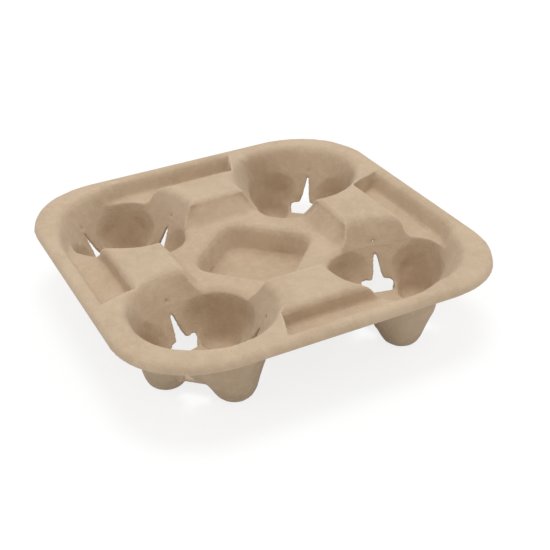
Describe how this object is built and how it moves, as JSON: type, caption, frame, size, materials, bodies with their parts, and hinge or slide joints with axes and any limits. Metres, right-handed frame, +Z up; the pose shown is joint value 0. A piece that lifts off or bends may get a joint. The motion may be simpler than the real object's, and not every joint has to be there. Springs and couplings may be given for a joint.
{
  "type": "cup carrier tray",
  "caption": "Moulded-fibre carry tray with slit tapered cup pockets round a square well, ridges between them and a flat rim with a down-turned lip.",
  "frame": {"origin": "centre of the tray at the level of its feet", "axes": "+Z up, out of the pocket mouths; X and Y parallel to the tray's sides; the two plain corners of the rim lie towards (-X, -Y) and (+X, +Y)"},
  "size_m": [0.214, 0.214, 0.045],
  "materials": {
    "moulded_fibre": "matte, uncoated, fine fibrous grain"
  },
  "bodies": {
    "root": {"cup_carrier": "moulded_fibre"}
  },
  "joints": []
}
